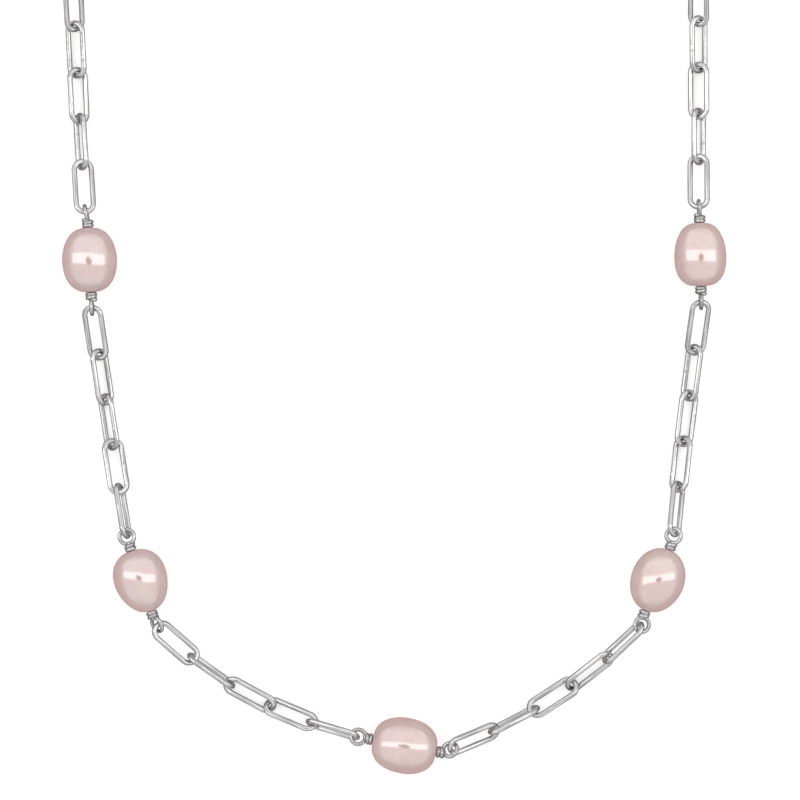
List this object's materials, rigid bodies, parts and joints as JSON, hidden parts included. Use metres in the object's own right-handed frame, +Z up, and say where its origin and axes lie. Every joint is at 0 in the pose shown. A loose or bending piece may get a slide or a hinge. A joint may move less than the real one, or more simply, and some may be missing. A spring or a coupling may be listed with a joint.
{
  "type": "pearl station necklace",
  "caption": "Station necklace of oval pearls on wire-wrapped pins joined by paperclip chain, unclasped and lying flat in a U, with a lobster clasp and an end ring.",
  "frame": {"origin": "middle of the footprint, on the table that the necklace lies on", "axes": "+X to the wearer's right arm of the U, +Y from the centre pearl towards the clasp, +Z up from the table"},
  "size_m": [0.1021, 0.2144, 0.0083],
  "materials": {
    "silver": "polished silver",
    "pearl": "pale pink nacre"
  },
  "bodies": {
    "pearl_pin_centre": {"pearl_pin_centre": "silver"},
    "pearl_centre": {"pearl_centre": "pearl"},
    "link_lower_left_1": {"link_lower_left_1": "silver"},
    "link_lower_left_2": {"link_lower_left_2": "silver"},
    "link_lower_left_3": {"link_lower_left_3": "silver"},
    "link_lower_left_4": {"link_lower_left_4": "silver"},
    "link_lower_left_5": {"link_lower_left_5": "silver"},
    "pearl_pin_left_1": {"pearl_pin_left_1": "silver"},
    "pearl_left_1": {"pearl_left_1": "pearl"},
    "link_middle_left_1": {"link_middle_left_1": "silver"},
    "link_middle_left_2": {"link_middle_left_2": "silver"},
    "link_middle_left_3": {"link_middle_left_3": "silver"},
    "link_middle_left_4": {"link_middle_left_4": "silver"},
    "link_middle_left_5": {"link_middle_left_5": "silver"},
    "pearl_pin_left_2": {"pearl_pin_left_2": "silver"},
    "pearl_left_2": {"pearl_left_2": "pearl"},
    "link_upper_left_1": {"link_upper_left_1": "silver"},
    "link_upper_left_2": {"link_upper_left_2": "silver"},
    "link_upper_left_3": {"link_upper_left_3": "silver"},
    "link_upper_left_4": {"link_upper_left_4": "silver"},
    "link_upper_left_5": {"link_upper_left_5": "silver"},
    "pearl_pin_left_3": {"pearl_pin_left_3": "silver"},
    "pearl_left_3": {"pearl_left_3": "pearl"},
    "back_links_left_inner": {"back_links_left_inner": "silver"},
    "back_links_left_outer": {"back_links_left_outer": "silver"},
    "pearl_pin_left_4": {"pearl_pin_left_4": "silver"},
    "pearl_left_4": {"pearl_left_4": "pearl"},
    "end_links_left": {"end_links_left": "silver"},
    "end_ring": {"end_ring": "silver"},
    "link_lower_right_1": {"link_lower_right_1": "silver"},
    "link_lower_right_2": {"link_lower_right_2": "silver"},
    "link_lower_right_3": {"link_lower_right_3": "silver"},
    "link_lower_right_4": {"link_lower_right_4": "silver"},
    "link_lower_right_5": {"link_lower_right_5": "silver"},
    "pearl_pin_right_1": {"pearl_pin_right_1": "silver"},
    "pearl_right_1": {"pearl_right_1": "pearl"},
    "link_middle_right_1": {"link_middle_right_1": "silver"},
    "link_middle_right_2": {"link_middle_right_2": "silver"},
    "link_middle_right_3": {"link_middle_right_3": "silver"},
    "link_middle_right_4": {"link_middle_right_4": "silver"},
    "link_middle_right_5": {"link_middle_right_5": "silver"},
    "pearl_pin_right_2": {"pearl_pin_right_2": "silver"},
    "pearl_right_2": {"pearl_right_2": "pearl"},
    "link_upper_right_1": {"link_upper_right_1": "silver"},
    "link_upper_right_2": {"link_upper_right_2": "silver"},
    "link_upper_right_3": {"link_upper_right_3": "silver"},
    "link_upper_right_4": {"link_upper_right_4": "silver"},
    "link_upper_right_5": {"link_upper_right_5": "silver"},
    "pearl_pin_right_3": {"pearl_pin_right_3": "silver"},
    "pearl_right_3": {"pearl_right_3": "pearl"},
    "back_links_right_inner": {"back_links_right_inner": "silver"},
    "back_links_right_outer": {"back_links_right_outer": "silver"},
    "pearl_pin_right_4": {"pearl_pin_right_4": "silver"},
    "pearl_right_4": {"pearl_right_4": "pearl"},
    "end_links_right": {"end_links_right": "silver"},
    "jump_ring": {"jump_ring": "silver"},
    "clasp_claw": {"clasp_claw": "silver", "clasp_rivet": "silver", "clasp_spring": "silver"},
    "clasp_lever": {"clasp_lever": "silver"}
  },
  "joints": [
    {"name": "link_lower_left_1_swing", "type": "hinge", "parent": "pearl_pin_centre", "child": "link_lower_left_1", "pos_m": [-0.00434, -0.10143, 0.00415], "axis": [-0.2632, -0.9647, 0], "range_deg": [-45, 45]},
    {"name": "link_lower_left_2_swing", "type": "hinge", "parent": "link_lower_left_1", "child": "link_lower_left_2", "pos_m": [-0.01067, -0.0997, 0.00208], "axis": [-0.1741, 0.385, 0.9064], "range_deg": [-45, 45]},
    {"name": "link_lower_left_3_swing", "type": "hinge", "parent": "link_lower_left_2", "child": "link_lower_left_3", "pos_m": [-0.01684, -0.09715, 0.00095], "axis": [-0.4046, -0.761, 0.5071], "range_deg": [-25, 10]},
    {"name": "link_lower_left_4_swing", "type": "hinge", "parent": "link_lower_left_3", "child": "link_lower_left_4", "pos_m": [-0.02272, -0.09385, 0.00168], "axis": [0.4517, 0.7299, 0.5131], "range_deg": [-45, 45]},
    {"name": "link_lower_left_5_swing", "type": "hinge", "parent": "link_lower_left_4", "child": "link_lower_left_5", "pos_m": [-0.02818, -0.08988, 0.00225], "axis": [-0.0322, -0.1903, 0.9812], "range_deg": [-25, 45]},
    {"name": "pearl_pin_left_1_swing", "type": "hinge", "parent": "link_lower_left_5", "child": "pearl_pin_left_1", "pos_m": [-0.03296, -0.08545, 0.00408], "axis": [0.6183, 0.7598, -0.2009], "range_deg": [-45, 40]},
    {"name": "link_middle_left_1_swing", "type": "hinge", "parent": "pearl_pin_left_1", "child": "link_middle_left_1", "pos_m": [-0.03752, -0.07126, 0.00395], "axis": [-0.9849, -0.1734, 0], "range_deg": [-45, 45]},
    {"name": "link_middle_left_2_swing", "type": "hinge", "parent": "link_middle_left_1", "child": "link_middle_left_2", "pos_m": [-0.03865, -0.06481, 0.00204], "axis": [0.3478, -0.1935, -0.9174], "range_deg": [-30, 20]},
    {"name": "link_middle_left_3_swing", "type": "hinge", "parent": "link_middle_left_2", "child": "link_middle_left_3", "pos_m": [-0.03973, -0.05821, 0.00129], "axis": [-0.9724, -0.1366, 0.1894], "range_deg": [-25, 25]},
    {"name": "link_middle_left_4_swing", "type": "hinge", "parent": "link_middle_left_3", "child": "link_middle_left_4", "pos_m": [-0.04075, -0.05157, 0.00136], "axis": [0.6353, 0.0976, 0.766], "range_deg": [-45, 45]},
    {"name": "link_middle_left_5_swing", "type": "hinge", "parent": "link_middle_left_4", "child": "link_middle_left_5", "pos_m": [-0.04169, -0.04495, 0.00196], "axis": [-0.704, -0.1588, 0.6922], "range_deg": [-20, 25]},
    {"name": "pearl_pin_left_2_swing", "type": "hinge", "parent": "link_middle_left_5", "child": "pearl_pin_left_2", "pos_m": [-0.04251, -0.0386, 0.00402], "axis": [0.9592, 0.0404, 0.2798], "range_deg": [-45, 45]},
    {"name": "link_upper_left_1_swing", "type": "hinge", "parent": "pearl_pin_left_2", "child": "link_upper_left_1", "pos_m": [-0.04354, -0.0237, 0.00377], "axis": [-0.0582, 0.2583, 0.9643], "range_deg": [-45, 45]},
    {"name": "link_upper_left_2_swing", "type": "hinge", "parent": "link_upper_left_1", "child": "link_upper_left_2", "pos_m": [-0.04403, -0.01702, 0.00194], "axis": [0.9934, 0.0539, -0.1009], "range_deg": [-20, 40]},
    {"name": "link_upper_left_3_swing", "type": "hinge", "parent": "link_upper_left_2", "child": "link_upper_left_3", "pos_m": [-0.0445, -0.0102, 0.00143], "axis": [-0.5087, -0.1102, -0.8539], "range_deg": [-45, 45]},
    {"name": "link_upper_left_4_swing", "type": "hinge", "parent": "link_upper_left_3", "child": "link_upper_left_4", "pos_m": [-0.04487, -0.00338, 0.00103], "axis": [0.8485, 0.0155, -0.529], "range_deg": [-20, 20]},
    {"name": "link_upper_left_5_swing", "type": "hinge", "parent": "link_upper_left_4", "child": "link_upper_left_5", "pos_m": [-0.04515, 0.00342, 0.00179], "axis": [-0.8674, 0.013, -0.4975], "range_deg": [-15, 20]},
    {"name": "pearl_pin_left_3_swing", "type": "hinge", "parent": "link_upper_left_5", "child": "pearl_pin_left_3", "pos_m": [-0.04534, 0.00993, 0.00394], "axis": [0.843, 0.1834, -0.5057], "range_deg": [-45, 45]},
    {"name": "back_links_left_inner_swing", "type": "hinge", "parent": "pearl_pin_left_3", "child": "back_links_left_inner", "pos_m": [-0.04604, 0.0249, 0.00373], "axis": [-0.2632, 0.2438, 0.9334], "range_deg": [-45, 45]},
    {"name": "back_links_left_outer_swing", "type": "hinge", "parent": "back_links_left_inner", "child": "back_links_left_outer", "pos_m": [-0.04654, 0.04517, 0.00127], "axis": [0.8193, 0.0029, -0.5733], "range_deg": [-45, 45]},
    {"name": "pearl_pin_left_4_swing", "type": "hinge", "parent": "back_links_left_outer", "child": "pearl_pin_left_4", "pos_m": [-0.04686, 0.05846, 0.004], "axis": [-0.9371, -0.1195, 0.328], "range_deg": [-45, 45]},
    {"name": "end_links_left_swing", "type": "hinge", "parent": "pearl_pin_left_4", "child": "end_links_left", "pos_m": [-0.04706, 0.0736, 0.00377], "axis": [0.2537, -0.2684, -0.9293], "range_deg": [-40, 35]},
    {"name": "end_ring_swing", "type": "hinge", "parent": "end_links_left", "child": "end_ring", "pos_m": [-0.04745, 0.09406, 0.00162], "axis": [-0.8657, -0.0282, 0.4998], "range_deg": [-40, 40]},
    {"name": "link_lower_right_1_swing", "type": "hinge", "parent": "pearl_pin_centre", "child": "link_lower_right_1", "pos_m": [0.01109, -0.103, 0.00416], "axis": [-0.4444, 0.763, -0.4694], "range_deg": [-45, 30]},
    {"name": "link_lower_right_2_swing", "type": "hinge", "parent": "link_lower_right_1", "child": "link_lower_right_2", "pos_m": [0.01717, -0.10072, 0.0021], "axis": [0.1297, -0.8062, -0.5772], "range_deg": [-20, 30]},
    {"name": "link_lower_right_3_swing", "type": "hinge", "parent": "link_lower_right_2", "child": "link_lower_right_3", "pos_m": [0.0231, -0.09765, 0.00158], "axis": [-0.1616, 0.1127, -0.9804], "range_deg": [-30, 25]},
    {"name": "link_lower_right_4_swing", "type": "hinge", "parent": "link_lower_right_3", "child": "link_lower_right_4", "pos_m": [0.02869, -0.094, 0.00124], "axis": [0.5278, -0.7914, 0.3086], "range_deg": [-25, 30]},
    {"name": "link_lower_right_5_swing", "type": "hinge", "parent": "link_lower_right_4", "child": "link_lower_right_5", "pos_m": [0.03384, -0.08984, 0.00224], "axis": [-0.5201, 0.5056, 0.6884], "range_deg": [-45, 45]},
    {"name": "pearl_pin_right_1_swing", "type": "hinge", "parent": "link_lower_right_5", "child": "pearl_pin_right_1", "pos_m": [0.03839, -0.08533, 0.00418], "axis": [0.1008, -0.4692, 0.8773], "range_deg": [-45, 25]},
    {"name": "link_middle_right_1_swing", "type": "hinge", "parent": "pearl_pin_right_1", "child": "link_middle_right_1", "pos_m": [0.04317, -0.0711, 0.00393], "axis": [-0.9827, 0.0676, -0.1721], "range_deg": [-25, 25]},
    {"name": "link_middle_right_2_swing", "type": "hinge", "parent": "link_middle_right_1", "child": "link_middle_right_2", "pos_m": [0.04398, -0.06453, 0.00189], "axis": [0.5709, -0.2933, -0.7668], "range_deg": [-45, 45]},
    {"name": "link_middle_right_3_swing", "type": "hinge", "parent": "link_middle_right_2", "child": "link_middle_right_3", "pos_m": [0.04478, -0.0578, 0.00113], "axis": [-0.7809, 0.0151, -0.6244], "range_deg": [-45, 45]},
    {"name": "link_middle_right_4_swing", "type": "hinge", "parent": "link_middle_right_3", "child": "link_middle_right_4", "pos_m": [0.0456, -0.05104, 0.00132], "axis": [0.8339, -0.0899, -0.5445], "range_deg": [-45, 45]},
    {"name": "link_middle_right_5_swing", "type": "hinge", "parent": "link_middle_right_4", "child": "link_middle_right_5", "pos_m": [0.04641, -0.04431, 0.00195], "axis": [-0.6696, 0.1442, -0.7286], "range_deg": [-15, 25]},
    {"name": "pearl_pin_right_2_swing", "type": "hinge", "parent": "link_middle_right_5", "child": "pearl_pin_right_2", "pos_m": [0.04719, -0.0378, 0.0038], "axis": [0.967, -0.0485, -0.2499], "range_deg": [-45, 45]},
    {"name": "link_upper_right_1_swing", "type": "hinge", "parent": "pearl_pin_right_2", "child": "link_upper_right_1", "pos_m": [0.04675, -0.02295, 0.00358], "axis": [-0.0174, 0.2495, 0.9682], "range_deg": [-45, 45]},
    {"name": "link_upper_right_2_swing", "type": "hinge", "parent": "link_upper_right_1", "child": "link_upper_right_2", "pos_m": [0.0469, -0.01624, 0.00186], "axis": [0.9907, 0.0178, 0.1348], "range_deg": [-15, 25]},
    {"name": "link_upper_right_3_swing", "type": "hinge", "parent": "link_upper_right_2", "child": "link_upper_right_3", "pos_m": [0.04695, -0.00943, 0.00137], "axis": [-0.5872, 0.0721, 0.8062], "range_deg": [-45, 45]},
    {"name": "link_upper_right_4_swing", "type": "hinge", "parent": "link_upper_right_3", "child": "link_upper_right_4", "pos_m": [0.04695, -0.00261, 0.00115], "axis": [0.9135, 0.0148, 0.4065], "range_deg": [-20, 25]},
    {"name": "link_upper_right_5_swing", "type": "hinge", "parent": "link_upper_right_4", "child": "link_upper_right_5", "pos_m": [0.04688, 0.00418, 0.00187], "axis": [-0.7874, -0.0666, 0.6128], "range_deg": [-15, 20]},
    {"name": "pearl_pin_right_3_swing", "type": "hinge", "parent": "link_upper_right_5", "child": "pearl_pin_right_3", "pos_m": [0.04676, 0.01069, 0.00394], "axis": [0.9155, -0.1013, 0.3893], "range_deg": [-45, 45]},
    {"name": "back_links_right_inner_swing", "type": "hinge", "parent": "pearl_pin_right_3", "child": "back_links_right_inner", "pos_m": [0.0467, 0.02576, 0.00374], "axis": [-0.2528, 0.2477, 0.9353], "range_deg": [-45, 45]},
    {"name": "back_links_right_outer_swing", "type": "hinge", "parent": "back_links_right_inner", "child": "back_links_right_outer", "pos_m": [0.04687, 0.04604, 0.00127], "axis": [0.9398, 0.0039, 0.3418], "range_deg": [-30, 35]},
    {"name": "pearl_pin_right_4_swing", "type": "hinge", "parent": "back_links_right_outer", "child": "pearl_pin_right_4", "pos_m": [0.04699, 0.05935, 0.0039], "axis": [-0.9388, 0.1021, -0.329], "range_deg": [-45, 45]},
    {"name": "end_links_right_swing", "type": "hinge", "parent": "pearl_pin_right_4", "child": "end_links_right", "pos_m": [0.04731, 0.07431, 0.00368], "axis": [0.2454, -0.2642, -0.9327], "range_deg": [-40, 35]},
    {"name": "jump_ring_swing", "type": "hinge", "parent": "end_links_right", "child": "jump_ring", "pos_m": [0.04764, 0.09477, 0.00182], "axis": [-0.8664, -0.0117, 0.4993], "range_deg": [-45, 45]},
    {"name": "clasp_claw_swing", "type": "hinge", "parent": "jump_ring", "child": "clasp_claw", "pos_m": [0.04769, 0.09725, 0.00179], "axis": [0.5735, -0.01, 0.8192], "range_deg": [-45, 45]},
    {"name": "pearl_centre_spin", "type": "hinge", "parent": "pearl_pin_centre", "child": "pearl_centre", "pos_m": [0.0035, -0.103, 0.00415], "axis": [-0.9826, 0.1857, 0], "continuous": true},
    {"name": "pearl_left_1_spin", "type": "hinge", "parent": "pearl_pin_left_1", "child": "pearl_left_1", "pos_m": [-0.0352, -0.0788, 0.00395], "axis": [-0.3123, 0.95, 0], "continuous": true},
    {"name": "pearl_left_2_spin", "type": "hinge", "parent": "pearl_pin_left_2", "child": "pearl_left_2", "pos_m": [-0.0428, -0.0316, 0.00405], "axis": [-0.0471, 0.9989, 0], "continuous": true},
    {"name": "pearl_left_3_spin", "type": "hinge", "parent": "pearl_pin_left_3", "child": "pearl_left_3", "pos_m": [-0.0457, 0.017, 0.004], "axis": [-0.0523, 0.9986, 0], "continuous": true},
    {"name": "pearl_left_4_spin", "type": "hinge", "parent": "pearl_pin_left_4", "child": "pearl_left_4", "pos_m": [-0.047, 0.0656, 0.00405], "axis": [-0.0175, 0.9998, 0], "continuous": true},
    {"name": "pearl_right_1_spin", "type": "hinge", "parent": "pearl_pin_right_1", "child": "pearl_right_1", "pos_m": [0.0407, -0.0787, 0.00395], "axis": [0.3681, 0.9298, 0], "continuous": true},
    {"name": "pearl_right_2_spin", "type": "hinge", "parent": "pearl_pin_right_2", "child": "pearl_right_2", "pos_m": [0.047, -0.0308, 0.00385], "axis": [-0.0175, 0.9998, 0], "continuous": true},
    {"name": "pearl_right_3_spin", "type": "hinge", "parent": "pearl_pin_right_3", "child": "pearl_right_3", "pos_m": [0.0467, 0.0178, 0.004], "axis": [-0.0087, 1, 0], "continuous": true},
    {"name": "pearl_right_4_spin", "type": "hinge", "parent": "pearl_pin_right_4", "child": "pearl_right_4", "pos_m": [0.0471, 0.0664, 0.00395], "axis": [0.0175, 0.9998, 0], "continuous": true},
    {"name": "clasp_lever_open", "type": "hinge", "parent": "clasp_claw", "child": "clasp_lever", "pos_m": [0.04796, 0.10151, 0.00176], "axis": [0.1736, -0.003, 0.9848], "range_deg": [0, 16], "stiffness_Nm_per_rad": 0.002, "springref_deg": -17.19}
  ]
}
